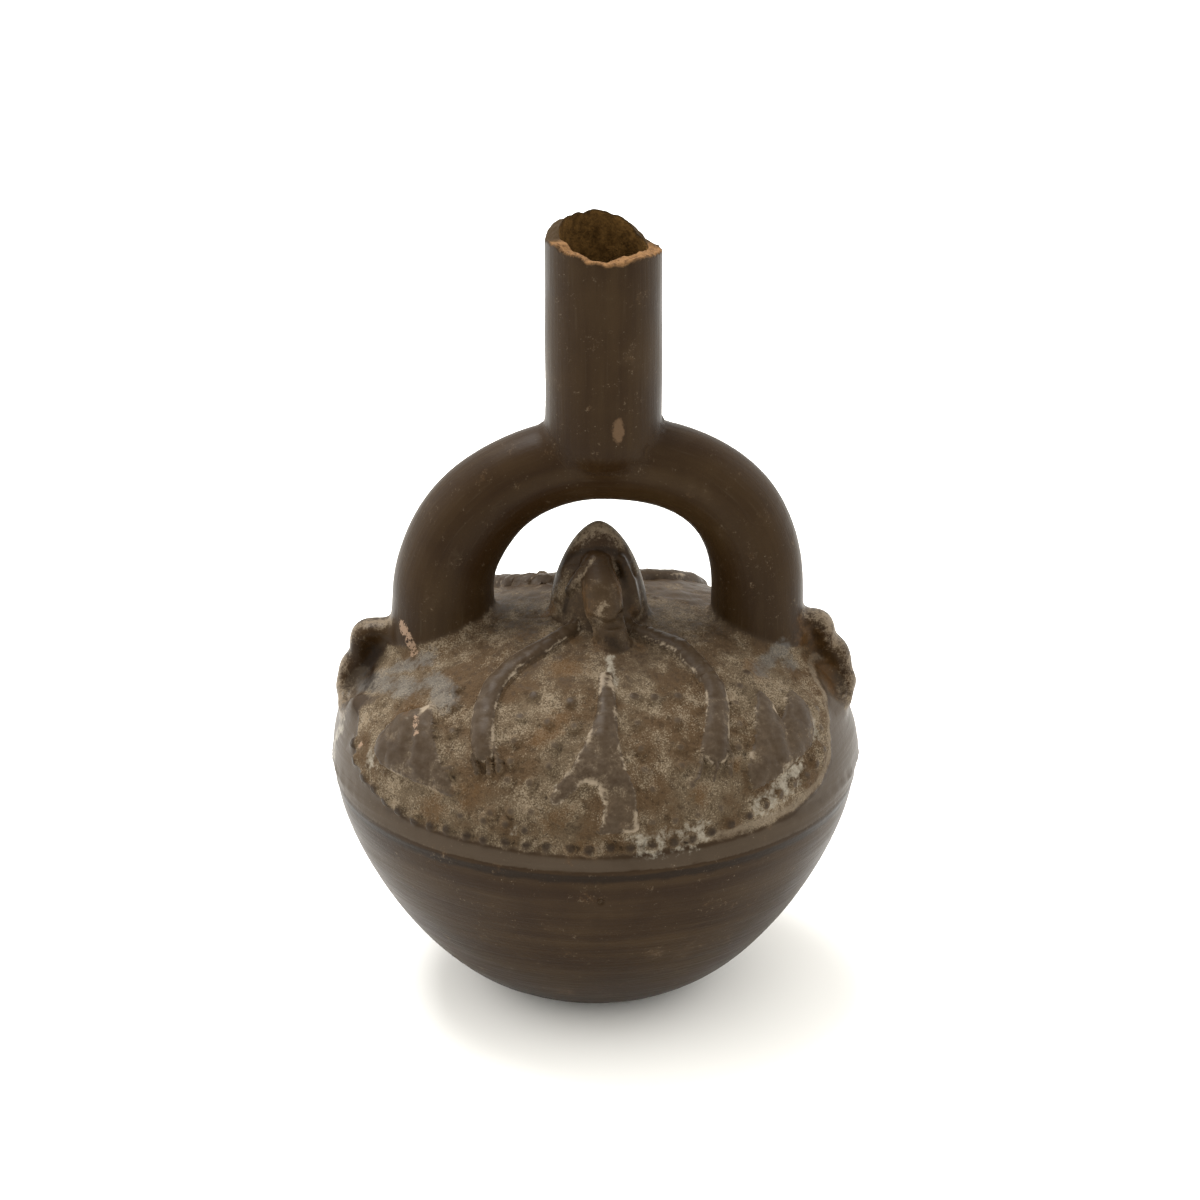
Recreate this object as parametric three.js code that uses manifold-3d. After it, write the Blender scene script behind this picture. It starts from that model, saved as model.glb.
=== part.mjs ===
// A stirrup-spout bottle of burnished black earthenware, press-moulded in two halves.
// A round bowl meets a domed shoulder at a sharp ridge. The shoulder carries a moulded relief,
// a small hooded head at its top, two lugs, and a hollow stirrup handle with one broken spout.
// All of it is one fired piece with one hollow inside, which opens at the spout's mouth.
// Millimetres, +Z up, origin under the middle of the foot, the head looking towards -Y.
import * as THREE from "three";
import { mergeVertices } from "three/addons/utils/BufferGeometryUtils.js";
import Module from "manifold-3d";

const wasm = await Module();
wasm.setup();

// The bowl and the shoulder
const ridgeRadius = 75;
const ridgeHeight = 67;
const footRadius = 21;
const bowlFullness = 1.42;
const bowlRoundness = 1.77;
const lipDepth = 0.8;
const lipHeight = 3;
const shoulderInset = 4.5;
const bandHeight = 5.5;
const domeRise = 43;
const domeRoundness = 2.1;
const ridgeBroadening = 0.01;
const domeBroadening = 0.081;
const wall = 5;

// The stirrup handle, a bent tube
const archOffset = 1.6;
const legReach = 44.9;
const springRise = 2.5;
const archRise = 41.5;
const leftArchRoundness = 1.97;
const rightArchRoundness = 2.35;
const leftLegRadius = 14.6;
const rightLegRadius = 13.1;
const crownRadius = 12;
const stirrupWall = 4.5;
const footFlare = 2;
const footFlareHeight = 5;

// The spout, with its rim broken off on a slant
const spoutOffset = 2.3;
const spoutRadius = 16.3;
const spoutWall = 4;
const spoutHeight = 64;
const spoutRootDepth = 8.5;
const spoutRootRise = 11;
const rimFallForward = 2.9;
const rimFallRight = 2;
const rimChips = [
  { at: 126, halfWidth: 22, depth: 1.9 },
  { at: -8, halfWidth: 14, depth: 0.9 },
  { at: 36, halfWidth: 16, depth: -1.4 },
  { at: -150, halfWidth: 20, depth: -0.6 },
];

// The head at the top of the shoulder
const hoodHalfWidth = 14;
const hoodOffset = 1;
const hoodHalfDepth = 13;
const hoodRise = 27.5;
const hoodForward = 7;
const hoodRoundness = 1.7;
const browDepth = 1.5;
const snoutLength = 30;
const snoutHalfWidth = 9.5;
const chinHalfWidth = 5;
const snoutThickness = 7;
const snoutSlope = 50;
const chinOffset = 2.5;

// The lugs beside the stirrup's feet, each with two lobes. A rise is a share of the dome's rise.
const leftLobes = [
  { reach: 62.5, rise: 0.698, halfWidth: 8, halfHeight: 7.5 },
  { reach: 64.5, rise: 0.419, halfWidth: 9.8, halfHeight: 11 },
];
const rightLobes = [
  { reach: 61.5, rise: 0.744, halfWidth: 7.5, halfHeight: 8.5 },
  { reach: 64, rise: 0.5, halfWidth: 10, halfHeight: 12 },
];
const lobeRoundness = 2.6;
const lugThickness = 12;
const lugRim = 3;
const lugHollowDepth = 4;

// The moulded relief, raised off the shoulder: arms, hands, wings, a tail and rows of pellets.
// Each stands at an angle from the front and a share of the dome's rise.
const figureTurn = 2.5;
const armHalfWidth = 3.3;
const armHeight = 2;
const armPath = [
  [17, 0.9605],
  [33, 0.9047],
  [37, 0.8372],
  [35.5, 0.7326],
  [32, 0.6163],
  [28, 0.4767],
];
const handHalfWidth = 4.5;
const wingFoot = 0.221;
const wingTop = 0.663;
const wingFootAngle = 34.5;
const wingTopAngle = 51;
const wingHalfAngle = 11.5;
const wingHeight = 1.8;
const tailFoot = 0.081;
const tailTop = 0.872;
const tailOffset = 3;
const tailFootHalfWidth = 8;
const tailTopHalfWidth = 2;
const tailHeight = 1.8;
const forkAngle = -13;
const forkFoot = 0.279;
const forkRoot = 0.523;
const forkHalfWidth = 3;
const pelletRadius = 1.6;
const pelletHeight = 0.9;
const borderPitch = 4.7;
const borderSpan = 58;
const borderRise = 0.65;
const fieldRows = [0.291, 0.43, 0.57, 0.709];
const fieldAngles = [-36, -16, -10, 12, 18, 37];

// A pit in the front of the bowl
const pitRadius = 0.9;
const pitDepth = 3;
const pitAngle = 1.3;
const pitDrop = 10;

// Slivers narrower than this are closed up where two surfaces meet.
const smallestEdge = 0.02;

const bandTop = ridgeHeight + bandHeight;
const domeTop = bandTop + domeRise;
const shoulderRadius = ridgeRadius - shoulderInset;
const springHeight = domeTop + springRise;
const crownHeight = springHeight + archRise;
const degrees = Math.PI / 180;
const { clamp, lerp, smoothstep } = THREE.MathUtils;

// A closed geometry as a solid that can be joined and cut.
function solid(geometry) {
  const plain = geometry.index ? geometry.toNonIndexed() : geometry.clone();
  plain.deleteAttribute("normal");
  plain.deleteAttribute("uv");
  const merged = mergeVertices(plain, 1e-4);
  return new wasm.Manifold(
    new wasm.Mesh({
      numProp: 3,
      vertProperties: merged.attributes.position.array,
      triVerts: new Uint32Array(merged.index.array),
    }),
  );
}

// Moves every vertex of a geometry to where place puts it.
function reshape(geometry, place) {
  const position = geometry.attributes.position;
  const point = new THREE.Vector3();
  for (let i = 0; i < position.count; i++) {
    place(point.fromBufferAttribute(position, i));
    position.setXYZ(i, point.x, point.y, point.z);
  }
  return geometry;
}

// A closed tube, with each vertex placed by its share of the way along and its place across.
function along(steps, sides, place) {
  const tube = new THREE.CylinderGeometry(1, 1, 1, sides, steps);
  return reshape(tube, (p) => p.copy(place(p.y + 0.5, p.x, p.z)));
}

// A ball, squarer than a sphere where roundness is over 2 and more pointed where it is under 2.
function ball(roundness, sides, rings) {
  return reshape(new THREE.SphereGeometry(1, sides, rings), (p) => {
    const size =
      Math.abs(p.x) ** roundness + Math.abs(p.y) ** roundness + Math.abs(p.z) ** roundness;
    p.divideScalar(size ** (1 / roundness));
  });
}

function turnedToBack(piece) {
  return piece.rotate([0, 0, 180]);
}

// The vessel's form, at a distance in from its outer face

function bowlRadiusAt(height, inset) {
  const drop = clamp((ridgeHeight - height) / (ridgeHeight - inset), 0, 1);
  const foot = footRadius - inset;
  const top = ridgeRadius - inset;
  const lip = lipDepth * Math.exp((height - ridgeHeight) / lipHeight);
  return foot + (top - foot) * (1 - drop ** bowlFullness) ** (1 / bowlRoundness) - lip;
}

function domeRadiusAt(height, inset) {
  const rise = clamp((height - bandTop) / (domeRise - inset), 0, 1);
  return (shoulderRadius - inset) * (1 - rise ** domeRoundness) ** (1 / domeRoundness);
}

function domeHeightAt(x, inset) {
  const share = clamp(Math.abs(x) / (shoulderRadius * (1 + domeBroadening) - inset), 0, 1);
  return bandTop + (domeRise - inset) * (1 - share ** domeRoundness) ** (1 / domeRoundness);
}

// The bowl is nearly round. The shoulder is broader from lug to lug than from front to back.
function broadnessAt(height) {
  const below = ridgeBroadening * smoothstep(height, 0, ridgeHeight);
  const above = smoothstep(height, ridgeHeight, bandTop);
  return 1 + below + (domeBroadening - ridgeBroadening) * above;
}

// The profile runs up from the axis at the foot to the axis at the top of the dome.
function vesselProfile(inset, bowlSteps, domeSteps) {
  const points = [new THREE.Vector2(0, inset)];
  const lipStart = ridgeHeight - lipHeight;
  for (let i = bowlSteps; i >= 0; i--) {
    const drop = Math.sin((i / bowlSteps) * 90 * degrees);
    const height = inset + (lipStart - inset) * (1 - drop);
    points.push(new THREE.Vector2(bowlRadiusAt(height, inset), height));
  }
  points.push(new THREE.Vector2(ridgeRadius - inset, ridgeHeight - lipHeight / 4));
  points.push(new THREE.Vector2(ridgeRadius - inset - lipDepth / 4, ridgeHeight + lipHeight / 4));
  for (let i = 0; i < domeSteps; i++) {
    const height = bandTop + (domeRise - inset) * Math.sin((i / domeSteps) * 90 * degrees);
    points.push(new THREE.Vector2(domeRadiusAt(height, inset), height));
  }
  points.push(new THREE.Vector2(0, domeTop - inset));
  return points;
}

function vessel(inset, sides, bowlSteps, domeSteps) {
  const turned = new THREE.LatheGeometry(vesselProfile(inset, bowlSteps, domeSteps), sides);
  turned.rotateX(90 * degrees);
  return solid(reshape(turned, (p) => p.setX(p.x * broadnessAt(p.z))));
}

function heightAt(rise) {
  return bandTop + domeRise * rise;
}

// Degrees round the shoulder for each millimetre across, at a share of the dome's rise
function degreesAcross(rise) {
  return 1 / (domeRadiusAt(heightAt(rise), 0) * degrees);
}

// A point on the shoulder at an angle from the front, in degrees, and a rise, raised off it.
// The moulded figure is set a little off the middle, so its angles start from figureTurn.
function onShoulder(angle, rise, raise) {
  const height = heightAt(rise);
  const step = 0.05;
  const slope =
    (domeRadiusAt(height + step, 0) - domeRadiusAt(height - step, 0)) / (2 * step);
  const steepness = Math.hypot(1, slope);
  const out = domeRadiusAt(height, 0) + raise / steepness;
  const turn = angle * degrees;
  return new THREE.Vector3(
    out * Math.sin(turn) * broadnessAt(height),
    -out * Math.cos(turn),
    height - (raise * slope) / steepness,
  );
}

// The stirrup's centre line: two straight legs under an arch that is rounder on the left
class StirrupLine extends THREE.Curve {
  constructor(footDepth) {
    super();
    this.foot = domeHeightAt(legReach + leftLegRadius, 0) - footDepth;
    this.arcLengthDivisions = 400;
  }

  getPoint(share, target = new THREE.Vector3()) {
    const legShare = 0.16;
    const below = Math.max(legShare - share, share - (1 - legShare), 0) / legShare;
    const turn = clamp((share - legShare) / (1 - 2 * legShare), 0, 1) * Math.PI;
    const side = share < 0.5 ? -1 : 1;
    const roundness = side < 0 ? leftArchRoundness : rightArchRoundness;
    const across = Math.abs(Math.cos(turn)) ** (2 / roundness);
    const rise = Math.abs(Math.sin(turn)) ** (2 / roundness);
    return target.set(
      archOffset + side * legReach * across,
      0,
      below > 0 ? lerp(springHeight, this.foot, below) : springHeight + archRise * rise,
    );
  }
}

// The tube is thickest at the legs, slimmer at the crown, and flares a little at the shoulder.
function stirrupRadiusAt(point) {
  const legRadius = point.x < archOffset ? leftLegRadius : rightLegRadius;
  const climb = smoothstep(point.z, springHeight, crownHeight) ** 2;
  const above = Math.max(point.z - domeHeightAt(point.x, 0), 0);
  return lerp(legRadius, crownRadius, climb) + footFlare * Math.exp(-above / footFlareHeight);
}

function stirrup(inset, sides, steps) {
  const line = new StirrupLine(inset * 2);
  const sideways = new THREE.Vector3(0, 1, 0);
  const tube = along(steps, sides, (share, across, up) => {
    const centre = line.getPointAt(share);
    const outward = new THREE.Vector3().crossVectors(line.getTangentAt(share), sideways);
    const radius = stirrupRadiusAt(centre) - inset;
    return centre.addScaledVector(outward, radius * across).addScaledVector(sideways, radius * up);
  });
  return solid(tube);
}

// The spout grows out of the crown. Its broken rim falls to the front and the right, with chips.

function rimHeightAt(turn) {
  let height = crownHeight + spoutHeight;
  height -= rimFallForward * Math.cos(turn) + rimFallRight * Math.sin(turn);
  for (const chip of rimChips) {
    const away = Math.abs(((turn / degrees - chip.at + 540) % 360) - 180);
    height -= chip.depth * (1 - smoothstep(away, 0, chip.halfWidth * 1.5));
  }
  return height;
}

function spout(inset, overshoot, sides, steps) {
  const start = crownHeight - spoutRootDepth + inset;
  const startRadius = Math.sqrt(crownRadius ** 2 - spoutRootDepth ** 2) - inset / 2;
  const tube = along(steps, sides, (share, across, up) => {
    const turn = Math.atan2(across, up);
    const height = lerp(start, rimHeightAt(turn) + overshoot, share ** 1.8);
    const grown = Math.sin(90 * degrees * smoothstep(height, start, crownHeight + spoutRootRise));
    const radius = lerp(startRadius, spoutRadius - inset, grown);
    const size = Math.hypot(across, up) * radius;
    return new THREE.Vector3(
      spoutOffset + size * Math.sin(turn),
      -size * Math.cos(turn),
      height,
    );
  });
  return solid(tube);
}

// The head: a pointed hood, and under its brow a long snout that slopes down to the chin

function hood() {
  const mound = ball(hoodRoundness, 16, 8);
  reshape(mound, (p) => {
    p.set(
      hoodOffset + p.x * hoodHalfWidth,
      -hoodForward - p.z * hoodHalfDepth,
      domeTop + p.y * hoodRise,
    );
  });
  return solid(mound);
}

function snout() {
  const bulge = ball(2.3, 12, 7);
  const tilt = snoutSlope * degrees;
  const start = -hoodForward - hoodHalfDepth / 2 + browDepth;
  reshape(bulge, (p) => {
    const down = (1 - p.y) / 2;
    const along = down * snoutLength;
    const width = lerp(snoutHalfWidth, chinHalfWidth, down ** 2);
    const proud = p.z * snoutThickness;
    p.set(
      hoodOffset + p.x * width + down * chinOffset,
      start - along * Math.cos(tilt) - proud * Math.sin(tilt),
      domeTop + hoodRise * 0.62 - along * Math.sin(tilt) + proud * Math.cos(tilt),
    );
  });
  return solid(bulge);
}

// The lugs: two flat lobes each, dished on the front inside a rim

function lobe(side, { reach, rise, halfWidth, halfHeight }, shrink, forward) {
  const flat = ball(lobeRoundness, 12, 7);
  reshape(flat, (p) => {
    p.set(
      side * reach + p.x * (halfWidth - shrink),
      -p.z * (lugThickness / 2) - forward,
      heightAt(rise) + p.y * (halfHeight - shrink),
    );
  });
  return solid(flat);
}

function lug(side, lobes) {
  const [upper, lower] = lobes;
  const dishForward = lugThickness - lugHollowDepth;
  const plate = lobe(side, upper, 0, 0).add(lobe(side, lower, 0, 0));
  const dish = lobe(side, upper, lugRim, dishForward).add(lobe(side, lower, lugRim, dishForward));
  return plate.subtract(dish);
}

// The relief

function arm(side) {
  const line = new THREE.CatmullRomCurve3(
    armPath.map(([angle, rise]) => onShoulder(figureTurn + side * angle, rise, 0)),
  );
  const strip = along(8, 6, (share, across, up) => {
    const centre = line.getPoint(share);
    const outward = new THREE.Vector3(centre.x, centre.y, centre.z / 2).normalize();
    const width = new THREE.Vector3().crossVectors(line.getTangent(share), outward).normalize();
    return centre
      .addScaledVector(width, armHalfWidth * across)
      .addScaledVector(outward, armHeight * up);
  });
  return solid(strip);
}

// How much a rise changes for each millimetre up the shoulder's slope: less towards the top.
function risePerMillimetre(rise) {
  return Math.sqrt(1 - clamp(rise, 0, 1) ** 2) / domeRise;
}

// A flattened ball pressed onto the shoulder.
function blob(angle, rise, radius, raise, sides) {
  const pat = new THREE.SphereGeometry(1, sides, 4);
  const spread = radius * degreesAcross(rise);
  const reach = radius * risePerMillimetre(rise);
  reshape(pat, (p) => p.copy(onShoulder(angle + p.x * spread, rise + p.z * reach, p.y * raise)));
  return solid(flipped(pat));
}

// Turns a geometry that was built left-handed the right way out.
function flipped(geometry) {
  const plain = geometry.index ? geometry.toNonIndexed() : geometry;
  const position = plain.attributes.position;
  const second = new THREE.Vector3();
  const third = new THREE.Vector3();
  for (let i = 0; i < position.count; i += 3) {
    second.fromBufferAttribute(position, i + 1);
    third.fromBufferAttribute(position, i + 2);
    position.setXYZ(i + 1, third.x, third.y, third.z);
    position.setXYZ(i + 2, second.x, second.y, second.z);
  }
  return plain;
}

// A flat patch laid on the shoulder, from edges(share) = [low angle, high angle] at each rise.
function patch(foot, top, raise, steps, edges) {
  const slab = new THREE.BoxGeometry(1, 1, 1, 3, steps, 1);
  reshape(slab, (p) => {
    const share = p.y + 0.5;
    const [low, high] = edges(share);
    p.copy(onShoulder(lerp(low, high, p.x + 0.5), lerp(foot, top, share), p.z * 2 * raise));
  });
  return solid(slab);
}

function wing(side) {
  return patch(wingFoot, wingTop, wingHeight, 5, (share) => {
    const middle = figureTurn + side * lerp(wingFootAngle, wingTopAngle, share ** 0.45);
    const half = wingHalfAngle * Math.sin((0.1 + 0.84 * share ** 0.65) * Math.PI);
    return [middle - half, middle + half];
  });
}

function tail() {
  return patch(tailFoot, tailTop, tailHeight, 6, (share) => {
    const across = degreesAcross(lerp(tailFoot, tailTop, share));
    const half = lerp(tailFootHalfWidth, tailTopHalfWidth, share);
    return [(tailOffset - half) * across, (tailOffset + half) * across];
  });
}

// A low stud with five sides, rooted below the surface.
function pellet(angle, rise) {
  const stud = new THREE.CylinderGeometry(0.55, 1, 1, 5);
  const spread = pelletRadius * degreesAcross(rise);
  const reach = pelletRadius * risePerMillimetre(rise);
  reshape(stud, (p) =>
    p.copy(onShoulder(angle + p.x * spread, rise + p.z * reach, p.y * 2 * pelletHeight)),
  );
  return solid(flipped(stud));
}

// The left fork of the tail, a tongue that bends away down and to the side.
function fork() {
  const tongue = along(4, 6, (share, across, up) => {
    const angle = lerp(figureTurn - forkHalfWidth, forkAngle, share);
    const rise = lerp(forkRoot, forkFoot, share);
    const spread = forkHalfWidth * across * degreesAcross(rise);
    return onShoulder(angle + spread, rise, tailHeight * up);
  });
  return solid(flipped(tongue));
}

// The border's pellets follow the panel's lower edge, which climbs towards the lugs.
function borderPellets() {
  const count = Math.floor(borderSpan / borderPitch);
  const pieces = [];
  for (let i = -count; i <= count; i++) {
    const angle = i * borderPitch;
    pieces.push(pellet(angle, borderRise * (1 - Math.cos(angle * degrees))));
  }
  return pieces;
}

function fieldPellets() {
  const pieces = [];
  for (const rise of fieldRows) {
    fieldAngles.forEach((angle) => pieces.push(pellet(figureTurn + angle, rise)));
  }
  return pieces;
}

function hand(side) {
  const [angle, wrist] = armPath.at(-1);
  const palm = wrist - (handHalfWidth / 2) * risePerMillimetre(wrist);
  return blob(figureTurn + side * angle, palm, handHalfWidth, armHeight, 10);
}

function figure() {
  const sides = [-1, 1].flatMap((side) => [wing(side), arm(side), hand(side)]);
  return wasm.Manifold.union([...sides, tail(), ...borderPellets()]);
}

function pit() {
  const drill = new THREE.CylinderGeometry(pitRadius, pitRadius, 2 * pitDepth, 6);
  const height = ridgeHeight - pitDrop;
  drill.translate(0, -bowlRadiusAt(height, 0), 0).rotateZ(pitAngle * degrees);
  return solid(drill.translate(0, 0, height));
}

const outside = vessel(0, 44, 8, 8).add(stirrup(0, 16, 25)).add(spout(0, 0, 24, 7));
const dressed = wasm.Manifold.union([
  outside,
  hood(),
  snout(),
  lug(-1, leftLobes),
  lug(1, rightLobes),
  figure(),
  turnedToBack(figure()),
  fork(),
  ...fieldPellets(),
]);
const hollow = vessel(wall, 24, 5, 5).add(stirrup(stirrupWall, 10, 20)).add(spout(spoutWall, 5, 16, 3));
const jar = dressed.subtract(hollow).subtract(pit()).simplify(smallestEdge);

function meshOf(made, name, material) {
  const { vertProperties, triVerts } = made.getMesh();
  const geometry = new THREE.BufferGeometry();
  geometry.setAttribute("position", new THREE.BufferAttribute(vertProperties, 3));
  geometry.setIndex(new THREE.BufferAttribute(triVerts, 1));
  geometry.computeVertexNormals();
  const mesh = new THREE.Mesh(geometry, material);
  mesh.name = name;
  return mesh;
}

const blackware = new THREE.MeshStandardMaterial({
  color: 0x3a2e25,
  roughness: 0.42,
  metalness: 0,
});

const bottle = new THREE.Group();
bottle.add(meshOf(jar, "jar", blackware));

export default bottle;
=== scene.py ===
"""A stirrup-spout bottle of burnished black earthenware, with moulded relief and a broken spout."""

import bpy
import numpy as np
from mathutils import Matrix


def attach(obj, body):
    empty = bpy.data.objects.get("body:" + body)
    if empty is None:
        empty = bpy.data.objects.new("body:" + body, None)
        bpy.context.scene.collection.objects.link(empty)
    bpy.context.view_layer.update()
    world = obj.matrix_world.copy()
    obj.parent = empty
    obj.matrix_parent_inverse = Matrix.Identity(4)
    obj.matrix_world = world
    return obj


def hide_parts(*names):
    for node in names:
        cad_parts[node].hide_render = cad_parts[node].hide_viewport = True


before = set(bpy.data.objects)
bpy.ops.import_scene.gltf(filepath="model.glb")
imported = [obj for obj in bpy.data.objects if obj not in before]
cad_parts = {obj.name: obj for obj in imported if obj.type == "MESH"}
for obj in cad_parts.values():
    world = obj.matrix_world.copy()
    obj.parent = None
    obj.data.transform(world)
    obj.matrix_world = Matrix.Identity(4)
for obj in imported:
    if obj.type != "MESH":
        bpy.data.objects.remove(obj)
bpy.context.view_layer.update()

# The bowl and the shoulder: two press-moulded halves of black earthenware, joined at a sharp
# ridge where the bottle is widest. Sizes are in millimetres and angles in degrees from the front.
RIDGE_RADIUS, RIDGE_HEIGHT = 75.0, 67.0
FOOT_RADIUS = 21.0
BOWL_FULLNESS, BOWL_ROUNDNESS = 1.42, 1.77
LIP_DEPTH, LIP_HEIGHT = 0.8, 3.0
BAND_TOP = 72.5
SHOULDER_RADIUS = 70.5
DOME_RISE, DOME_ROUNDNESS = 43.0, 2.1
RIDGE_BROADENING, DOME_BROADENING = 0.01, 0.081
DOME_TOP = BAND_TOP + DOME_RISE
WALL = 5.0
RIGHT_DENT, RIGHT_DENT_HEIGHT, RIGHT_DENT_REACH = 0.012, 84.0, 7.0
PIT, PIT_RADIUS = (1.7, 1.6 - RIDGE_RADIUS, RIDGE_HEIGHT - 10), 1.3


def ease(value, start, end):
    share = np.clip((value - start) / (end - start), 0, 1)
    return share * share * (3 - 2 * share)


def bowl_radius(height):
    drop = np.clip((RIDGE_HEIGHT - height) / RIDGE_HEIGHT, 0, 1)
    swell = (1 - drop**BOWL_FULLNESS) ** (1 / BOWL_ROUNDNESS)
    lip = LIP_DEPTH * np.exp((height - RIDGE_HEIGHT) / LIP_HEIGHT)
    return FOOT_RADIUS + (RIDGE_RADIUS - FOOT_RADIUS) * swell - lip


def dome_radius(height):
    rise = np.clip((height - BAND_TOP) / DOME_RISE, 0, 1)
    return SHOULDER_RADIUS * (1 - rise**DOME_ROUNDNESS) ** (1 / DOME_ROUNDNESS)


def broadness(height):
    below = RIDGE_BROADENING * ease(height, 0, RIDGE_HEIGHT)
    return 1 + below + (DOME_BROADENING - RIDGE_BROADENING) * ease(height, RIDGE_HEIGHT, BAND_TOP)


def near_line(points, line):
    """How far each point is from a line of straight pieces, and the nearest place along it."""
    gap, place = np.full(len(points), np.inf), np.zeros(len(points))
    for piece, (start, end) in enumerate(zip(line[:-1], line[1:])):
        step = end - start
        share = np.clip((points - start) @ step / max(step @ step, 1e-9), 0, 1)
        away = np.linalg.norm(points - start - share[:, None] * step, axis=1)
        nearer = away < gap
        gap[nearer], place[nearer] = away[nearer], (piece + share)[nearer]
    return gap, place


def table(low, high, step, measure):
    """Measures once over a plane, and returns a function that reads between the measured points."""
    across, up = (np.arange(a, b + step, step) for a, b in zip(low, high))
    spots = np.stack(np.meshgrid(across, up, indexing="ij"), -1)
    grid = measure(spots.reshape(-1, 2)).reshape(len(across), len(up), -1)

    def read(a, b):
        u = np.clip((a - low[0]) / step, 0, len(across) - 1.001)
        v = np.clip((b - low[1]) / step, 0, len(up) - 1.001)
        i, j = u.astype(int), v.astype(int)
        u, v = (u - i)[:, None], (v - j)[:, None]
        near = grid[i, j] * (1 - u) + grid[i + 1, j] * u
        return near * (1 - v) + (grid[i, j + 1] * (1 - u) + grid[i + 1, j + 1] * u) * v

    return read


def vessel_outline():
    bowl = (RIDGE_HEIGHT - LIP_HEIGHT) * (1 - np.sin(np.radians(np.linspace(90, 0, 80))))
    dome = BAND_TOP + DOME_RISE * np.sin(np.radians(np.linspace(0, 90, 80)))
    ridge = [
        [RIDGE_RADIUS, RIDGE_HEIGHT - LIP_HEIGHT / 4],
        [RIDGE_RADIUS - LIP_DEPTH / 4, RIDGE_HEIGHT + LIP_HEIGHT / 4],
    ]
    return np.vstack([
        [[0, 0]],
        np.column_stack([bowl_radius(bowl), bowl]),
        ridge,
        np.column_stack([dome_radius(dome), dome]),
    ])


OUTLINE = vessel_outline()
OUTLINE_LENGTH = np.append(0, np.cumsum(np.linalg.norm(np.diff(OUTLINE, axis=0), axis=1)))


def off_outline(points):
    gap, place = near_line(points, OUTLINE)
    radius = np.interp(points[:, 1], OUTLINE[:, 1], OUTLINE[:, 0], left=0, right=0)
    inside = (points[:, 0] < radius) & (points[:, 1] > 0)
    length = np.interp(place, np.arange(len(OUTLINE)), OUTLINE_LENGTH)
    return np.column_stack([np.where(inside, -gap, gap), length])


outline_at = table((0, -12), (100, 240), 0.6, off_outline)


def vessel(points):
    """The distance from the bowl's and shoulder's surface, below zero inside, and the length up it."""
    x, y, z = points.T
    slimmer = 1 + RIGHT_DENT * np.exp(-(((z - RIGHT_DENT_HEIGHT) / RIGHT_DENT_REACH) ** 2)) * (x > 0)
    return outline_at(np.hypot(x * slimmer / broadness(z), y), z).T


def on_shoulder(angle, height):
    turn, out = np.radians(angle), dome_radius(np.asarray(height, float))
    return np.stack([out * np.sin(turn) * broadness(height), -out * np.cos(turn), height], -1)


def bearing(points):
    """The angle round from the front, which the head faces."""
    return np.degrees(np.arctan2(points[:, 0] / broadness(points[:, 2]), -points[:, 1]))


def below(points):
    """The place on the plain shoulder straight below each point."""
    wide = broadness(points[:, 2])
    out = np.maximum(np.hypot(points[:, 0] / wide, points[:, 1]), 1e-3)
    outward = (out / SHOULDER_RADIUS) ** (DOME_ROUNDNESS - 1) / SHOULDER_RADIUS
    upward = (np.clip(points[:, 2] - BAND_TOP, 0, 99) / DOME_RISE) ** (DOME_ROUNDNESS - 1) / DOME_RISE
    slope = np.column_stack([points[:, 0] / wide**2 / out * outward, points[:, 1] / out * outward, upward])
    slope /= np.linalg.norm(slope, axis=1, keepdims=True)
    return points - slope * vessel(points)[0][:, None]


def lumps(points, size, seed):
    """Smooth random values from -1 to 1 that change over about one size."""
    spot = points / size
    cell = np.floor(spot).astype(np.int64)
    share = spot - cell
    share = share * share * (3 - 2 * share)
    total = np.zeros(len(points))
    for corner in np.ndindex(2, 2, 2):
        a, b, c = (cell + corner).T
        mixed = (a * 73856093 ^ b * 19349663 ^ c * 83492791 ^ seed * 40503) & 0xFFFFFFFF
        mixed = ((mixed ^ (mixed >> 13)) * 1274126177) & 0xFFFFFFFF
        value = ((mixed ^ (mixed >> 16)) & 0xFFFF) / 32767.5 - 1
        total += value * np.prod(np.where(corner, share, 1 - share), axis=1)
    return total


def joined(first, second, fillet):
    """Two forms as one, with a fillet in the corner between them."""
    share = np.clip(0.5 + 0.5 * (second - first) / fillet, 0, 1)
    return second + (first - second) * share - fillet * share * (1 - share)


def cut(form, tool, fillet):
    """A form without what the tool takes out, with its edges eased."""
    return -joined(-form, tool, fillet)


# The stirrup handle: a hollow tube of clay bent into an arch and luted to the shoulder on both
# sides. It is thickest at the feet and slimmer at the crown, and fuller on the right shoulder.
ARCH_OFFSET, LEG_REACH = 1.6, 44.9
SPRING_HEIGHT, ARCH_RISE = 118.0, 41.5
LEFT_ARCH_ROUNDNESS, RIGHT_ARCH_ROUNDNESS = 1.97, 2.4
LEFT_LEG_RADIUS, RIGHT_LEG_RADIUS, CROWN_RADIUS = 14.6, 13.1, 12.0
STIRRUP_WALL = 4.5
FOOT_FLARE, FOOT_FLARE_HEIGHT = 1.2, 4.0
CROWN_HEIGHT = SPRING_HEIGHT + ARCH_RISE
LEFT_WAIST, LEFT_WAIST_HEIGHT, LEFT_WAIST_REACH = 0.5, 131.0, 9.0


def stirrup_line():
    turn = np.radians(np.linspace(0, 180, 121))
    side = np.where(turn < np.pi / 2, -1, 1)
    roundness = np.where(side < 0, LEFT_ARCH_ROUNDNESS, RIGHT_ARCH_ROUNDNESS)
    across = side * LEG_REACH * np.abs(np.cos(turn)) ** (2 / roundness)
    rise = ARCH_RISE * np.abs(np.sin(turn)) ** (2 / roundness)
    arch = np.column_stack([ARCH_OFFSET + across, SPRING_HEIGHT + rise])
    feet = [[arch[0, 0], 84]], [[arch[-1, 0], 84]]
    return np.vstack([feet[0], arch, feet[1]])


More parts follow.
